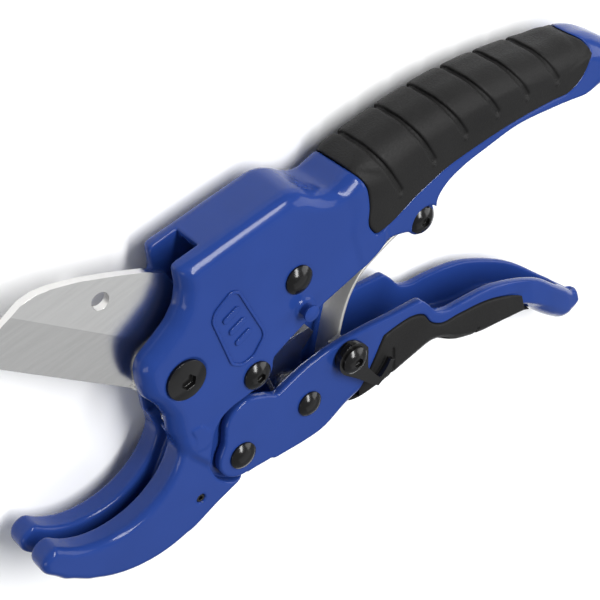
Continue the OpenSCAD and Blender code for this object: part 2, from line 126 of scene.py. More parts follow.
class Field:
    """A block of sample points in millimetres. A shape on it is its signed distance, negative inside."""

    def __init__(self, low, high, step):
        self.step = step * STEP_SCALE
        self.low = np.array(low, np.float32)
        counts = [int((b - a) / self.step) + 2 for a, b in zip(low, high)]
        pace = np.float32(self.step)
        x, y, z = (a + pace * np.arange(n, dtype=np.float32) for a, n in zip(self.low, counts))
        self.x, self.y, self.z = x[:, None, None], y[None, :, None], z[None, None, :]

    def outline(self, points):
        """Distance to a closed flat outline, one layer that holds for every Z."""
        px, py = self.x[:, :, 0], self.y[:, :, 0]
        best = np.full((px.shape[0], py.shape[1]), 1e9, np.float32)
        inside = np.zeros(best.shape, bool)
        points = np.asarray(points, np.float32)
        for (ax, ay), (bx, by) in zip(points, np.roll(points, -1, axis=0)):
            ex, ey = bx - ax, by - ay
            t = np.clip(((px - ax) * ex + (py - ay) * ey) / (ex * ex + ey * ey), 0, 1)
            best = np.minimum(best, (px - ax - ex * t) ** 2 + (py - ay - ey * t) ** 2)
            if ay != by:
                inside ^= ((ay > py) != (by > py)) & (px < ax + (py - ay) * ex / ey)
        best = np.sqrt(best)
        best[inside] *= -1
        return best[:, :, None]

    def disc(self, centre, radius):
        return np.hypot(self.x - centre[0], self.y - centre[1]) - radius

    def bar(self, a, b, radius):
        """Distance to a round-ended bar between two flat points."""
        ex, ey = b[0] - a[0], b[1] - a[1]
        wx, wy = self.x - a[0], self.y - a[1]
        t = np.clip((wx * ex + wy * ey) / (ex * ex + ey * ey), 0, 1)
        return np.hypot(wx - ex * t, wy - ey * t) - radius

    def beyond(self, half):
        """Distance past a half thickness, on both sides of the middle."""
        return np.abs(self.z) - half


def curve(points, corner=40, pieces=5):
    """Makes the gentle bends of an outline smooth. A bend sharper than the corner angle stays sharp."""
    p = np.array(points, float)
    ahead = np.roll(p, -1, axis=0) - p
    behind = np.roll(ahead, 1, axis=0)
    long_a, long_b = np.linalg.norm(ahead, axis=1)[:, None], np.linalg.norm(behind, axis=1)[:, None]
    unit_a, unit_b = ahead / long_a, behind / long_b
    turn = np.degrees(np.arccos(np.clip((unit_a * unit_b).sum(axis=1), -1, 1)))
    tangent = unit_a / long_a + unit_b / long_b
    tangent /= np.maximum(np.linalg.norm(tangent, axis=1)[:, None], 1e-9)
    made = []
    for i in range(len(p)):
        j = (i + 1) % len(p)
        start = unit_a[i] if turn[i] > corner else tangent[i]
        end = unit_a[i] if turn[j] > corner else tangent[j]
        for t in np.arange(pieces) / pieces:
            made.append(
                (2 * t**3 - 3 * t**2 + 1) * p[i]
                + (t**3 - 2 * t**2 + t) * long_a[i] * start
                + (3 * t**2 - 2 * t**3) * p[j]
                + (t**3 - t**2) * long_a[i] * end
            )
    return made


def soften(flat, sigma, step):
    """Rounds the corners of a flat distance with a Gaussian blur."""
    reach = max(1, int(3 * sigma / step))
    weights = np.exp(-0.5 * (np.arange(-reach, reach + 1) * step / sigma) ** 2)
    weights /= weights.sum()
    layer = np.pad(flat[:, :, 0], reach, mode="reflect", reflect_type="odd")
    rows = sum(w * layer[k : k + flat.shape[0], :] for k, w in enumerate(weights))
    blurred = sum(w * rows[:, k : k + flat.shape[1]] for k, w in enumerate(weights))
    return blurred.astype(np.float32)[:, :, None]


def slab(flat, beyond, r):
    """A flat outline given thickness, with its edges rounded to radius r. r may vary over the outline."""
    u, v = flat + r, beyond + r
    return np.hypot(np.maximum(u, 0), np.maximum(v, 0)) + np.minimum(np.maximum(u, v), 0) - r


def join(a, b, k=0.0):
    """Union of two shapes with a fillet of about k between them."""
    if k <= 0:
        return np.minimum(a, b)
    h = np.maximum(k - np.abs(a - b), 0) / k
    return np.minimum(a, b) - h * h * k / 4


def both(a, b, k=0.0):
    """What two shapes have in common."""
    return -join(-a, -b, k)


def cut(a, b, k=0.0):
    """Shape a without shape b, with the new edges eased by about k."""
    return both(a, -b, k)


def ramp(t, low, high):
    """Rises smoothly from 0 to 1 between low and high."""
    s = np.clip((t - low) / (high - low), 0, 1)
    return s * s * (3 - 2 * s)


def surface(field, d, name):
    """A mesh where the distance is zero: one vertex per crossed cell, one quad per crossed edge."""
    inside = d < 0
    nx, ny, nz = (n - 1 for n in d.shape)
    count = sum(inside[i : i + nx, j : j + ny, k : k + nz].astype(np.int8) for i, j, k in CELL_CORNERS)
    active = (count > 0) & (count < len(CELL_CORNERS))
    cells = np.argwhere(active)
    index = np.full(active.shape, -1, np.int32)
    index[active] = np.arange(len(cells), dtype=np.int32)

    points = (field.low + (cells + cell_centres(d, cells)) * field.step) * MM
    quads = np.concatenate([ring_quads(inside, index, axis) for axis in range(3)])
    return mesh(name, relaxed(points, quads), quads)


def cell_centres(d, cells):
    """The mean of the points where each cell's edges cross the surface, as shares of the cell's size."""
    value = {c: d[cells[:, 0] + c[0], cells[:, 1] + c[1], cells[:, 2] + c[2]] for c in CELL_CORNERS}
    total, hits = np.zeros((len(cells), 3)), np.zeros(len(cells))
    for a in CELL_CORNERS:
        for axis in range(3):
            if a[axis]:
                continue
            b = tuple(1 if n == axis else a[n] for n in range(3))
            crossed = (value[a] < 0) != (value[b] < 0)
            t = np.where(crossed, value[a] / np.where(crossed, value[a] - value[b], 1), 0)
            for n in range(3):
                total[:, n] += crossed * (a[n] + (t if n == axis else 0))
            hits += crossed
    return total / hits[:, None]


def ring_quads(inside, index, axis):
    """A quad round each edge along one axis that crosses the surface, through the four cells it touches."""
    u, v = [n for n in range(3) if n != axis]
    first = [slice(1, -1)] * 3
    first[axis] = slice(0, -1)
    second = list(first)
    second[axis] = slice(1, None)
    a, b = inside[tuple(first)], inside[tuple(second)]
    quads = []
    for found, flip in ((a & ~b, axis == 1), (~a & b, axis != 1)):
        at = np.argwhere(found)
        at[:, u] += 1
        at[:, v] += 1
        ring = []
        for du, dv in ((1, 1), (0, 1), (0, 0), (1, 0)):
            cell = at.copy()
            cell[:, u] -= du
            cell[:, v] -= dv
            ring.append(index[cell[:, 0], cell[:, 1], cell[:, 2]])
        quad = np.stack(ring, axis=1)
        quads.append(quad[:, ::-1] if flip else quad)
    return np.concatenate(quads)


def relaxed(points, quads, rounds=3):
    """Evens out the small steps that the samples leave along an edge, without shrinking the shape."""
    a, b = quads.ravel(), np.roll(quads, -1, axis=1).ravel()
    start, end = np.concatenate([a, b]), np.concatenate([b, a])
    count = np.maximum(np.bincount(start, minlength=len(points)), 1)
    for pull in (0.5, -0.52) * rounds:
        mean = [np.bincount(start, weights=points[end, n], minlength=len(points)) / count for n in range(3)]
        points = points + pull * (np.stack(mean, axis=1) - points)
    return points


def mesh(name, points, quads, smooth=True):
    """A mesh object from arrays of points, in metres, and of four corners per face."""
    made = bpy.data.meshes.new(name)
    made.vertices.add(len(points))
    made.vertices.foreach_set("co", np.ascontiguousarray(points, np.float32).ravel())
    made.loops.add(4 * len(quads))
    made.loops.foreach_set("vertex_index", np.ascontiguousarray(quads, np.int32).ravel())
    made.polygons.add(len(quads))
    made.polygons.foreach_set("loop_start", np.arange(0, 4 * len(quads), 4, dtype=np.int32))
    made.polygons.foreach_set("use_smooth", np.full(len(quads), smooth))
    made.update(calc_edges=True)
    made.validate()
    obj = bpy.data.objects.new(name, made)
    bpy.context.collection.objects.link(obj)
    return obj


def tube(name, path, radius, sides=10):
    """A round wire along a list of points in millimetres, closed at both ends."""
    path = np.array(path, float)
    along = np.gradient(path, axis=0)
    along /= np.linalg.norm(along, axis=1)[:, None]
    side = np.cross(along[0], (0.3, 0.2, 0.93))
    rings = []
    for k, (p, t) in enumerate(zip(path, along)):
        side = side - t * side.dot(t)
        side /= np.linalg.norm(side)
        up = np.cross(t, side)
        wide = radius * (0.35 if k in (0, len(path) - 1) else 1)
        angles = 2 * np.pi * np.arange(sides) / sides
        rings.append(p + wide * (np.cos(angles)[:, None] * side + np.sin(angles)[:, None] * up))
    points = np.concatenate(rings + [path[:1], path[-1:]]) * MM
    quads = []
    for k in range(len(path) - 1):
        for n in range(sides):
            a, b = k * sides + n, k * sides + (n + 1) % sides
            quads.append((a, b, b + sides, a + sides))
    first, last = len(path) * sides, len(path) * sides + 1
    top = (len(path) - 1) * sides
    for n in range(0, sides, 2):
        quads.append((first, (n + 2) % sides, n + 1, n))
        quads.append((last, top + n, top + n + 1, top + (n + 2) % sides))
    return mesh(name, points, np.array(quads))


# ---- flat outlines, in the XY plane ----

HOUSING = [
    (30, -30), (44, -24), (45, -12), (51, -10.4), (55, -7.6), (57, -3.6), (63.2, -2), (77.3, 1.1), (92, 2.3),
    (104, 4.8), (104, 33), (99, 33), (92.5, 33.6), (87.8, 36.5), (83.2, 42), (79.5, 44), (41, 46), (39.6, 39),
    (37.2, 34.5), (33, 31), (27.6, 28.7), (21.5, 26.4), (19.2, 23.5), (18, 18.5), (17.8, 13.5), (20.2, 7.6),
    (21.3, 1.8), (20, -5.5), (21, -10),
]
UPPER = [
    (94, 3), (106, 4.8), (110.8, 2.6), (114.5, 1), (123, 3), (126.4, 6.5), (129.8, 8.3), (136.4, 9.6),
    (146.8, 9.6), (158.8, 9), (174.7, 4.9), (193.3, -1.7), (198, -3.4), (202.5, -4), (206, -1.5), (206.8, 3),
    (205, 7.6), (201, 12.6), (196, 17), (190, 20.2), (180, 21.4), (169.6, 24.3), (157.9, 28), (145.8, 30.8),
    (133.6, 32.8), (121.7, 34), (104, 35), (99, 34.6), (94, 33),
]
UPPER_GRIP = [
    (102, 31), (101.5, 22), (99.5, 15.5), (101, 10.8), (105, 10.6), (119, 13), (130.3, 14.2), (142.5, 13.5),
    (158, 11.7), (174.3, 8.4), (181, 6.8), (187, 8.7), (192.5, 14.5), (192.3, 17), (189.5, 20.2), (180, 23.8),
    (169.6, 27.5), (157.9, 31.2), (145.8, 34.1), (133.6, 36.1), (121.7, 37.2), (108, 37.4), (100, 35.8),
]
# Each groove of the upper grip: its place along X above the grip's back, and its lower end
GROOVES = [
    (107.4, (112.7, 19.4)), (121.4, (126.4, 21)), (133.4, (139.3, 21.5)), (145.4, (152.2, 20.3)),
    (157.4, (164.2, 18.3)), (169.4, (176.7, 15.3)),
]
HOLLOW = [
    (12, -4), (41, -6), (47.8, -14), (56, -30), (130, -20), (188, -15), (190, 7), (184, 16), (168, 23),
    (148, 29.5), (128, 32), (103, 29), (90, 29.5), (84, 37), (78, 40), (50.5, 41.5), (50.5, 60), (0, 60),
]
JAW_SIDE = [(-60, -80), (60, -80), (60, -9), (21, -9), (-26, -16), (-60, -22)]
JAW_ROOT = [(12, -43.5), (22, -41.8), (31.7, -40.4), (44, -37), (46, -24), (20, -9)]
LUG = [(20, -38), (30, -40), (46, -27), (46, -10), (22, -10)]
CAST_LEDGE = [(25, -5.5), (28.6, -6.8), (30.6, -11), (30, -14.4), (27, -15.6), (24, -14.4), (25.4, -9.5)]
HANDLE = [
    (45, -20), (45, -41.2), (62, -44.8), (76, -44.8), (88, -46), (109, -46.2), (119, -54.2), (130, -60),
    (142, -63.6), (149, -67.4), (153.4, -72.6), (158.4, -80.6), (163.6, -88), (169, -94), (172.6, -95.6),
    (177, -95), (180.2, -92.4), (174.4, -83.6), (167, -73), (158.2, -61), (148.6, -52.2), (137.8, -45),
    (125.5, -40.6), (118.2, -38.4), (114.6, -35.4), (112.6, -30.8), (110.2, -26.6), (107.5, -25.9),
    (66.4, -16.9),
]
BLADE_WAY = [(-60, -21), (-24, -29), (-2, -40), (8, -31), (36, -1), (36, 40), (-60, 40)]
LOBE_FRONT = [(44, -36), (50, -20), (42, -19), (33.9, -19), (28.8, -29)]
LOBE_BACK = [(36, -38), (60, -44), (66, -18), (59.4, -19.2), (54.4, -18.9), (51, -15.6), (44, -12)]
CHANNEL = [
    (20, -60), (56, -60), (56, -41.8), (76.3, -41.8), (88.4, -43), (110.2, -43.2), (120.7, -51.2),
    (131.4, -57), (143, -60.6), (151.3, -65.6), (156, -71), (161, -79), (166, -86), (171, -91), (175, -91),
    (190, -70), (150, -20), (112, -10), (64, 10), (20, 10),
]
LOWER_GRIP = [
    (90, -48.4), (103.1, -48.2), (110.4, -48.4), (119.4, -56.2), (125.2, -59.6), (131.3, -62.6),
    (141.8, -66.2), (149.2, -70), (153, -73.2), (158.4, -78), (158.6, -70.4), (153.8, -63.6), (143.4, -54.4),
    (132.8, -47.9), (122, -44), (115, -42), (111.6, -38.4), (109.6, -33), (106.6, -30.6), (99, -28.8),
    (94, -28.6), (88.8, -34), (79, -43.2), (75, -46.7),
]
BADGE = [
    (43.6, 5.6), (46.6, 2.4), (51.6, 2.4), (57, 6.6), (57.4, 9.4), (54.6, 28), (52, 30), (45, 27.4),
    (43, 24.6),
]
LEAF_LINE = [
    (116.6, -2.3), (112, -2.2), (104, -3.6), (96, -6), (91, -9.6), (86.5, -15), (82, -22.5), (78, -30),
    (74.8, -36), (73.2, -39.2),
]


def polar(centre, r, degrees):
    """The point at a radius and an angle round a centre."""
    a = math.radians(degrees)
    return (centre[0] + r * math.cos(a), centre[1] + r * math.sin(a))


def lobe(f):
    """The part of the lower handle that turns in the pocket of the casting."""
    shape = f.disc(HANDLE_AXIS, HUB_R)
    for part in (f.disc(LOBE_CENTRE, LOBE_R), f.outline(LOBE_FRONT), f.outline(LOBE_BACK)):
        shape = join(shape, part, 1.2)
    return shape


def pocket(f):
    """Room for the lobe over the whole swing of the lower handle."""
    dx, dy = LOBE_CENTRE[0] - HANDLE_AXIS[0], LOBE_CENTRE[1] - HANDLE_AXIS[1]
    start, far = math.degrees(math.atan2(dy, dx)), math.hypot(dx, dy)
    shape = f.disc(HANDLE_AXIS, HUB_R + HUB_GAP)
    for turn in np.linspace(0, SWING, 8):
        shape = join(shape, f.disc(polar(HANDLE_AXIS, far, start + turn), LOBE_R + POCKET_GAP))
    front = both(f.disc(POCKET_CENTRE, POCKET_R), np.maximum(-33 - f.y, f.x - 40))
    shape = join(shape, front, 0.8)
    edge = polar(HANDLE_AXIS, 18, start + SWING + 20)
    mouth = [(36, -39), (70, -42), (70, -12), (58, -9), (50, -9.6), (41, -9.2), edge, (26.3, -26.5)]
    return join(shape, f.outline(mouth), 0.8)


# ---- cast and moulded pieces ----


def housing_shape(f):
    """The box over the blade and the pawls, with broad top edges and rounder corners at the neck."""
    flat = join(f.outline(HOUSING), f.disc(STOP_AXIS, STOP_BOSS_R), 1.5)
    to_neck = ramp(f.x, 72, 84)
    flat = soften(flat, 0.8, f.step) * (1 - to_neck) + soften(flat, 2.4, f.step) * to_neck
    wide = ramp(f.y - (f.x - 30) * 0.5, -14, 0) * ramp(110 - f.x, 0, 12)
    return slab(flat, f.beyond(HOUSING_Z), 0.9 + 4.2 * wide)


def upper_handle_shape(f):
    """The upper handle, crowned along its back and at its far end."""
    flat = soften(join(f.outline(curve(UPPER)), f.disc(LEAF_AXIS, LEAF_BOSS_R), 3), 0.7, f.step)
    crown = np.clip(ramp(f.y - 14 + (f.x - 110) * 0.12, 0, 10) + 0.7 * ramp(f.x, 186, 198), 0, 1)
    return slab(flat, f.beyond(UPPER_Z), 0.9 + (4.6 + 2.6 * ramp(f.x, 160, 190)) * crown)


def jaw_shape(f):
    """The hooked jaw, with its blunt nose and its seat for the pipe."""
    nose, chin, throat = NUB
    jaw = both(f.disc(JAW_CENTRE, JAW_R), f.outline(JAW_SIDE))
    jaw = join(jaw, f.bar(nose, chin, NUB_R), 0.8)
    jaw = join(jaw, f.bar(chin, throat, NUB_R), 1.2)
    jaw = join(jaw, f.disc((nose[0] + 2, nose[1] + 0.3), NUB_R), 0.6)
    jaw = join(jaw, f.outline(JAW_ROOT), 2)
    jaw = cut(jaw, f.disc((0, 0), SEAT_R), 1.5)
    jaw = cut(jaw, f.disc((-3, 0), SEAT_R + 0.2), 1.5)
    return slab(soften(jaw, 0.6, f.step), f.beyond(JAW_Z), 2.4)


def blade_slot(f):
    """The slot that the blade swings in, between the jaw's two prongs and through the housing."""
    web = f.disc(JAW_CENTRE, WEB_R)
    slot = both(join(web, f.disc((NUB[0][0] - 1, NUB[0][1]), 11)), f.outline(BLADE_WAY))
    slot = join(slot, f.disc(BLADE_AXIS, TOOTH_TIP_R + 1.2))
    return both(slot, f.beyond(SLOT_Z))


def drilled(body, f):
    """The casting with the bores for its screws, rivets and pin."""
    body = cut(body, f.disc(BLADE_AXIS, BLADE_BORE_R))
    body = cut(body, both(f.disc(BLADE_AXIS, COUNTERBORE_R), HOUSING_Z - COUNTERBORE_DEPTH - f.z), 0.3)
    body = cut(body, f.disc(JAW_PIN_AXIS, JAW_PIN_BORE_R), 0.5)
    bores = (
        (HANDLE_AXIS, HANDLE_BORE_R),
        (STOP_AXIS, SCREW_BORE_R),
        (HOLD_AXIS, PAWL_BORE_R),
        (LEAF_AXIS, SCREW_BORE_R),
    )
    for centre, radius in bores:
        body = cut(body, f.disc(centre, radius))
    return body


def main_casting():
    """Housing, jaw and upper handle in one piece, with room for the blade, the pawls and the lower handle."""
    f = Field((-37, -48, -12), (208, 48, 12), 0.38)
    body = join(housing_shape(f), upper_handle_shape(f), 2.5)
    body = join(body, jaw_shape(f), 3)
    ledge = soften(f.outline(CAST_LEDGE), 0.5, f.step)
    body = join(body, slab(ledge, f.beyond(HOUSING_Z + 0.45), 0.4), 0.5)
    lug = join(f.disc(HANDLE_AXIS, HUB_R - 0.3), f.outline(LUG))
    body = join(body, slab(lug, f.beyond(LUG_Z), 0.8))

    body = cut(body, both(soften(pocket(f), 0.4, f.step), LUG_Z - np.abs(f.z)), 0.9)
    flat, _, skin = grip_shape(f)
    body = cut(body, both(flat - 0.1, -skin - 2.4), 0.9)
    body = cut(body, both(f.disc(LEAF_AXIS, LEAF_BAY_R), LEAF_BAY_Z - np.abs(f.z)), 0.4)
    body = cut(body, both(soften(f.outline(HOLLOW), 0.8, f.step), f.beyond(HOLLOW_Z)), 0.8)
    body = drilled(cut(body, blade_slot(f), 1.6), f)
    body = join(body, slab(f.disc(PEG_AXIS, PEG_COLLAR_R), np.abs(f.z - HOUSING_Z) - 0.6, 0.5), 1.2)
    made = surface(f, body, "cast_body")
    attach(made, "frame")
    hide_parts("main_casting")
    return made


def badge():
    """A plain raised badge: a thin frame with three bars in it."""
    f = Field((42, 1, 10.4), (59, 31.5, 11.8), 0.14)
    outer = soften(f.outline(BADGE), 0.7, f.step)
    shape = np.abs(outer + 0.6) - 0.5
    for step in range(3):
        low = (47.4 + step * 0.5, 21.6 - step * 5)
        shape = join(shape, f.bar(low, (low[0] + 4, low[1] + 0.9), 1.15))
    made = surface(f, slab(shape, np.abs(f.z - HOUSING_Z) - 0.6, 0.35), "badge")
    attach(made, "frame")
    return made


def grip_shape(f):
    """The upper grip without its grooves: its flat outline, its half thickness, and its crowned body."""
    grip, casting = f.outline(curve(UPPER_GRIP)), f.outline(curve(UPPER))
    flat = soften(grip, 0.6, f.step)
    lower_edge = np.interp(f.x[:, 0, 0], [98, 119, 142, 174, 192], [10, 13, 13.5, 8.4, 12])[:, None, None]
    above = f.y - lower_edge
    swell = ramp(above, 3, 15) * (1 - ramp(above, 16, 26)) * ramp(f.x, 100, 112) * (1 - ramp(f.x, 172, 190))
    half = UPPER_Z + 0.8 - 0.35 * ramp(f.x, 104, 116) + 0.75 * swell
    end = ramp(f.x, 156, 188)
    shoulder = 0.7 + (5.2 + 3 * ramp(f.x, 98, 112)) * ramp(above, 4 - 5 * end, 17 - 13 * end)
    crown = slab(soften(join(grip, casting), 0.8, f.step), np.abs(f.z) - half, shoulder)
    return flat, half, both(slab(flat, np.abs(f.z) - half, 0.7), crown)


def upper_grip():
    """The upper grip, with its six grooves and a small dot below the end of each."""
    f = Field((98, 5, -12), (195, 39, 12), 0.32)
    _, half, full = grip_shape(f)
    skin = full
    for top, end in GROOVES:
        band = f.bar((top, 40), end, 0.7)
        depth = 0.7 + 0.7 * ramp(f.y, end[1], 34)
        skin = cut(skin, both(band, -(full + depth)), 0.9)
        dot_here = f.disc((end[0] - 0.3, end[1] - 2), 0.65)
        skin = join(skin, slab(dot_here, np.abs(f.z) - half - 0.3, 0.3), 0.3)
    casting = join(f.outline(curve(UPPER)), f.outline(HOUSING))
    skin = cut(skin, both(both(casting, f.beyond(UPPER_BED_Z)), full + 2))
    made = surface(f, skin, "upper_grip_skin")
    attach(made, "frame")
    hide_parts("upper_grip")
    return made


def handle_half(f):
    """Half width of the lower handle, which closes to a round tip."""
    return np.interp(f.x, [126, 142, 154, 164, 172, 178, 180.6], [HANDLE_Z, 9.8, 8.4, 6.4, 4.4, 2.4, 0.2])


def handle_flat(f):
    """Flat outline of the lower handle without its lobe."""
    return join(f.outline(curve(HANDLE)), f.disc(HANDLE_TIP, HANDLE_TIP_R))


def handle_shape(f):
    """The lower handle before it is hollowed, with its lower edges well rounded."""
    flat = join(soften(handle_flat(f), 0.6, f.step), lobe(f), 0.8)
    middle = np.interp(f.x, [60, 110, 125, 150, 165, 180], [-34, -38, -48, -62, -78, -94])
    low = ramp(middle - f.y, -2, 5) * ramp(f.x, 62, 80)
    high = ramp(f.x, 150, 172)
    radius = 1.1 + 4.6 * np.maximum(low, 0.25 * high)
    return slab(flat, np.abs(f.z) - handle_half(f), radius)


def lower_handle():
    """The lower handle: an open channel from its lobe to its tip, with a bed for its grip."""
    f = Field((26, -98, -11.6), (182, -9, 11.6), 0.38)
    body = handle_shape(f)
    inner = np.interp(f.x, [126, 142, 154, 164, 169, 170.5], [INNER_Z, 6.8, 5.6, 3.8, 2.4, 0.3])
    channel = slab(soften(f.outline(curve(CHANNEL)), 0.8, f.step), np.abs(f.z) - inner, 1.2)
    body = cut(body, channel, 1.1)
    body = cut(body, both(f.outline(curve(LOWER_GRIP)) - 0.1, GRIP_BED_Z - np.abs(f.z)), 0.9)
    for centre, radius in ((HANDLE_AXIS, HANDLE_BORE_R), (DRIVE_AXIS, PAWL_BORE_R)):
        body = cut(body, f.disc(centre, radius))
    body = cut(body, both(f.disc(LATCH_AXIS, SCREW_BORE_R), -f.z))
    made = surface(f, body, "channel_handle")
    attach(made, "lower_handle")
    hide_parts("lower_handle")
    return made


def lower_grip():
    """The rubber insert on the lower handle, with its two thin grooves."""
    f = Field((73, -84, -11.8), (161, -26, 11.8), 0.34)
    flat = soften(f.outline(curve(LOWER_GRIP)), 0.6, f.step)
    middle = np.interp(f.x, [75, 110, 125, 150, 165], [-40, -39, -51, -64, -78])
    radius = 0.7 + 5 * ramp(middle - f.y, -1, 6)
    skin = slab(flat, np.abs(f.z) - np.minimum(handle_half(f) + 0.3, HANDLE_Z + 0.3), radius)
    full = skin
    for start, end in (((95.5, -36), (92, -50)), ((127, -62), (128, -56))):
        skin = cut(skin, both(f.bar(start, end, 0.55), -(full + 0.7)), 0.5)
    skin = cut(skin, both(handle_flat(f), f.beyond(GRIP_BED_Z)))
    made = surface(f, skin, "lower_grip_skin")
    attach(made, "lower_handle")
    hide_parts("lower_grip")
    return made


def leaf_spring():
    """The flat spring between the handles: an eye on its screw, then a long bent strip."""
    half_width, half_thick, ease = 4.3, 0.5, 0.15
    pieces = 8
    # curve() closes its outline, so the stretch from the last point back to the first is left off
    strip = curve(LEAF_LINE, pieces=pieces)[: 1 - pieces]
    eye = [polar(LEAF_AXIS, 2.85, a) for a in np.arange(-520, -126, 12)]
    line = np.array(eye + [tuple(p) for p in strip])
    along = np.gradient(line, axis=0)
    along /= np.linalg.norm(along, axis=1)[:, None]
    side = np.stack([-along[:, 1], along[:, 0]], axis=1) * half_thick
    low, high = -half_width, half_width
    section = (
        (-1, low + ease), (-1, high - ease), (-1 + ease, high), (1 - ease, high),
        (1, high - ease), (1, low + ease), (1 - ease, low), (-1 + ease, low),
    )
    points, quads, n = [], [], len(section)
    for p, s in zip(line, side):
        points += [(p[0] + s[0] * u, p[1] + s[1] * u, z) for u, z in section]
    for k in range(len(line) - 1):
        for m in range(n):
            a, b = k * n + m, k * n + (m + 1) % n
            quads.append((a, b, b + n, a + n))
    for base, flip in ((0, False), ((len(line) - 1) * n, True)):
        for a, b, c, d in ((0, 1, 2, 3), (0, 3, 4, 7), (4, 5, 6, 7)):
            face = (base + a, base + b, base + c, base + d)
            quads.append(face if flip else face[::-1])
    made = mesh("leaf_strip", np.array(points) * MM, np.array(quads))
    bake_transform(made)
    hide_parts("leaf_spring")
    return made


def coil(name, body, centre, radius, wire, low, high, turns, leg):
    """A small torsion spring: a helix round an axis from high down to low along Z, then a straight leg.

    radius is the helix's, wire is the wire's own radius, and leg holds the two flat ends of the leg.
    """
    steps = int(turns * 28)
    last = math.degrees(math.atan2(leg[0][1] - centre[1], leg[0][0] - centre[0]))
    path = []
    for k in range(steps + 1):
        share = k / steps
        x, y = polar(centre, radius, last - 360 * turns * (1 - share))
        path.append((x, y, high + (low - high) * share))
    for share in np.linspace(0.15, 1, 7):
        x, y = (leg[0][n] + (leg[1][n] - leg[0][n]) * share for n in (0, 1))
        path.append((x, y, low))
    made = tube(name, path, wire)
    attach(made, body)
    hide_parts(name.replace("_coil", ""))
    return made


def blade_return_spring():
    leg = ((38.6, 11.4), (49.6, 15.4))
    return coil("blade_return_spring_coil", "frame", BLADE_AXIS, 8.8, 0.5, 2.3, 4.2, 2.5, leg)


def drive_pawl_spring():
    leg = ((62.5, -35), (75.4, -41.2))
    return coil("drive_pawl_spring_coil", "lower_handle", DRIVE_AXIS, 4.4, 0.45, 5.2, 2.9, 3, leg)


def hold_pawl_spring():
    leg = ((68.4, 16.5), (68.4, 39.8))
    return coil("hold_pawl_spring_coil", "frame", HOLD_AXIS, 4.05, 0.42, 3.3, 4.2, 2, leg)


# ---- finishes ----


def wire_up(tree, node, inputs):
    """Links each input that comes from another node, and sets each that is a plain value."""
    for socket, value in inputs.items():
        if isinstance(value, bpy.types.NodeSocket):
            tree.links.new(value, node.inputs[socket])
        else:
            node.inputs[socket].default_value = value


def add(tree, kind, inputs=None, **settings):
    """A new node with its settings and its inputs."""
    node = tree.nodes.new(kind)
    for name, value in settings.items():
        setattr(node, name, value)
    wire_up(tree, node, inputs or {})
    return node


def mix_colour(tree, factor, a, b):
    """Colour a at factor 0 and colour b at factor 1."""
    node = add(tree, "ShaderNodeMix", {0: factor, 6: a, 7: b}, data_type="RGBA")
    return node.outputs[2]


def spread(tree, value, low, high, to_low, to_high):
    """Maps the range from low to high onto another range."""
    node = add(tree, "ShaderNodeMapRange", {0: value, 1: low, 2: high, 3: to_low, 4: to_high})
    return node.outputs[0]


def dot(tree, a, b):
    """Dot product of two vectors."""
    return add(tree, "ShaderNodeVectorMath", {0: a, 1: b}, operation="DOT_PRODUCT").outputs["Value"]


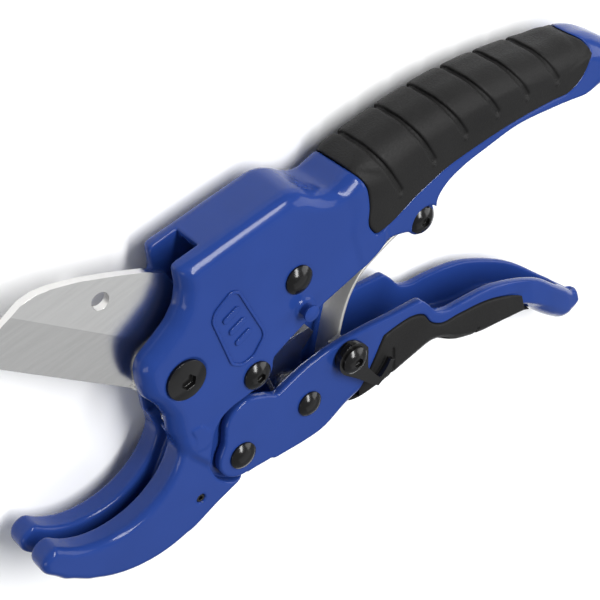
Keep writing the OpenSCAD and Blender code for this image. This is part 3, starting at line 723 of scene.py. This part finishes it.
def finish(name, colour, worn_and_lit_edge_colour, roughness, metallic=0.0, coat=0.0, specular=0.5, grain=900, bump=0.05,
           brushed=None, ease=0.25, blotch=0.12, worn_and_lit_edge_share=0.35, painted_bevel_shade=0.0):
    """A material with a fine grain, slow changes of tone, and edges that are eased to catch the lamps and
    made lighter.

    worn_and_lit_edge_colour is the colour of its lighter edges, partly rubbed finish and partly painted
    highlight, and worn_and_lit_edge_share is how much of it shows. ease is the radius, in millimetres, that
    its edges are softened to.
    brushed is a turn and a stretch of the grain. painted_bevel_shade is how much darker, as painted shade, a
    ground bevel or any face tilted out of the XY plane is made than the flat of a blade that lies in that
    plane.
    """
    made = bpy.data.materials.new(name)
    made.use_nodes = True
    tree = made.node_tree
    tree.nodes.clear()
    out = add(tree, "ShaderNodeOutputMaterial")
    shader = add(tree, "ShaderNodeBsdfPrincipled")
    tree.links.new(shader.outputs[0], out.inputs[0])
    place = add(tree, "ShaderNodeTexCoord").outputs["Object"]
    if brushed:
        place = add(tree, "ShaderNodeMapping", {0: place, 2: (0, 0, brushed[0]), 3: brushed[1]}).outputs[0]
    fine = add(tree, "ShaderNodeTexNoise", {"Vector": place, "Scale": grain, "Detail": 3.0}).outputs[0]
    slow = add(tree, "ShaderNodeTexNoise", {"Vector": place, "Scale": 55.0, "Detail": 2.0}).outputs[0]

    rounded = add(tree, "ShaderNodeBevel", {"Radius": ease * MM}, samples=4).outputs[0]
    face = add(tree, "ShaderNodeNewGeometry").outputs["Normal"]
    # Lighter edges: partly rubbed finish, partly a painted highlight that stands in for the lamps catching
    # the edges.
    edge = spread(tree, dot(tree, rounded, face), 0.99, 0.8, 0.0, worn_and_lit_edge_share)
    patchy = spread(tree, fine, 0.35, 0.65, 0.2, 1.0)
    rubbed_and_lit = add(tree, "ShaderNodeMath", {0: edge, 1: patchy}, operation="MULTIPLY")

    dark = tuple(c * (1 - blotch) for c in colour) + (1,)
    light = tuple(min(1, c * (1 + blotch)) for c in colour) + (1,)
    base = mix_colour(tree, spread(tree, slow, 0.3, 0.7, 0, 1), dark, light)
    base = mix_colour(tree, rubbed_and_lit.outputs[0], base, tuple(worn_and_lit_edge_colour) + (1,))
    # Painted shade: faces tilted out of the XY plane, such as the blade's ground bevel and the round sides of
    # wires, are darkened towards black.
    if painted_bevel_shade:
        upright = dot(tree, face, (0, 0, 1))
        flatness = add(tree, "ShaderNodeMath", {0: upright}, operation="ABSOLUTE").outputs[0]
        base = mix_colour(tree, spread(tree, flatness, 1, 0.997, 0, painted_bevel_shade), base, (0, 0, 0, 1))
    rough = spread(tree, fine, 0.3, 0.7, roughness * 0.85, min(1, roughness * 1.15))
    relief = add(tree, "ShaderNodeBump", {
        "Strength": bump,
        "Distance": 0.0002,
        "Height": fine,
        "Normal": rounded,
    })
    wire_up(tree, shader, {
        "Base Color": base,
        "Roughness": rough,
        "Metallic": metallic,
        "Coat Weight": coat,
        "Coat Roughness": 0.04,
        "Specular IOR Level": specular,
        "Normal": relief.outputs[0],
    })
    return made


def make_finishes():
    """One finish for each material slot of the record, and a duller one for the leaf spring."""
    return {
        "paint": finish(
            "blue_enamel", (0.015, 0.042, 0.2), (0.035, 0.085, 0.3), 0.17,
            coat=0.17, specular=0.1, grain=600, bump=0.03, blotch=0.04, worn_and_lit_edge_share=0.3,
        ),
        "rubber": finish(
            "moulded_rubber", (0.0135, 0.0132, 0.013), (0.026, 0.0255, 0.025), 0.55,
            specular=0.14, grain=1700, bump=0.55, ease=0.15, worn_and_lit_edge_share=0.3,
        ),
        "steel": finish(
            "ground_steel", (0.78, 0.77, 0.75), (0.9, 0.89, 0.87), 0.2,
            metallic=1.0, brushed=(0.68, (1, 14, 1)), ease=0.12, blotch=0.03, painted_bevel_shade=0.17,
        ),
        "black_steel": finish(
            "black_oxide", (0.008, 0.0077, 0.0077), (0.05, 0.048, 0.048), 0.17,
            specular=0.35, grain=1300, bump=0.04,
        ),
        "spring_steel": finish(
            "spring_steel", (0.55, 0.54, 0.51), (0.7, 0.69, 0.66), 0.5,
            metallic=0.55, bump=0.08, ease=0.12,
        ),
        "brass": finish("bearing_brass", (0.6, 0.4, 0.14), (0.8, 0.6, 0.3), 0.3, metallic=1.0),
    }


def dress(new_pieces, finishes):
    """Gives every CAD node the finish of its material slot, and every new piece the one listed with it."""
    slots = {row["node"]: row["material_slot"] for row in frame["record"]["subparts"]}
    for node, obj in frame["nodes"].items():
        look = finishes[slots[node]]
        if not obj.data.materials:
            obj.data.materials.append(look)
        for n in range(len(obj.data.materials)):
            obj.data.materials[n] = look
    for obj, look in new_pieces:
        obj.data.materials.append(finishes[look])


# ---- studio ----


def lamp(name, place, target, size, power):
    """A rectangular area lamp that faces its target."""
    data = bpy.data.lights.new(name, "AREA")
    data.shape = "RECTANGLE"
    data.size, data.size_y = size
    data.energy = power
    obj = bpy.data.objects.new(name, data)
    bpy.context.collection.objects.link(obj)
    obj.location = Vector(place)
    obj.rotation_euler = (Vector(place) - Vector(target)).to_track_quat("Z", "Y").to_euler()


def lay_floor():
    """A pale floor just under the tool, which lies on its side."""
    reach, height = 6, -0.0146
    corners = [(x * reach, y * reach, height) for x, y in ((-1, -1), (1, -1), (1, 1), (-1, 1))]
    floor = mesh("floor", np.array(corners), np.array([(0, 1, 2, 3)]), smooth=False)
    pale = bpy.data.materials.new("pale_floor")
    pale.use_nodes = True
    shader = pale.node_tree.nodes["Principled BSDF"]
    shader.inputs["Base Color"].default_value = (0.93, 0.93, 0.93, 1)
    shader.inputs["Roughness"].default_value = 0.75
    floor.data.materials.append(pale)


def light_room():
    """A dim, slightly cool room with four lamps: their reflections draw the tool's edges."""
    world = bpy.data.worlds.new("room")
    world.use_nodes = True
    world.node_tree.nodes["Background"].inputs[0].default_value = (0.9, 0.94, 1, 1)
    world.node_tree.nodes["Background"].inputs[1].default_value = 0.28
    bpy.context.scene.world = world

    middle = (0.07, 0.0, 0.0)
    lamp("key", (0.33, 0.42, 0.92), middle, (0.2, 0.9), 13)
    lamp("side", (1.1, -0.1, 0.7), middle, (0.6, 0.9), 5)
    lamp("left", (-0.9, 0.1, 0.6), middle, (0.3, 0.5), 2)
    lamp("panel", (0.3, -0.66, 0.95), middle, (1.3, 0.8), 1.3)


def place_camera():
    """The camera of the photograph, fitted with the jaw's seat as the scale."""
    camera = bpy.data.objects.new("camera", bpy.data.cameras.new("camera"))
    bpy.context.collection.objects.link(camera)
    camera.location = Vector((-67.92, 332.77, 298.14)) * MM
    camera.rotation_euler = Euler([math.radians(a) for a in (-36.10, -38.53, -17.30)])
    camera.data.lens = 96
    camera.data.sensor_width = 36
    camera.data.clip_start = 0.01
    camera.data.clip_end = 20
    bpy.context.scene.camera = camera
    bpy.context.scene.view_settings.view_transform = "Standard"


new_pieces = [
    (main_casting(), "paint"),
    (badge(), "paint"),
    (upper_grip(), "rubber"),
    (lower_handle(), "paint"),
    (lower_grip(), "rubber"),
    (leaf_spring(), "spring_steel"),
    (blade_return_spring(), "steel"),
    (drive_pawl_spring(), "steel"),
    (hold_pawl_spring(), "steel"),
]
dress(new_pieces, make_finishes())
lay_floor()
light_room()
place_camera()
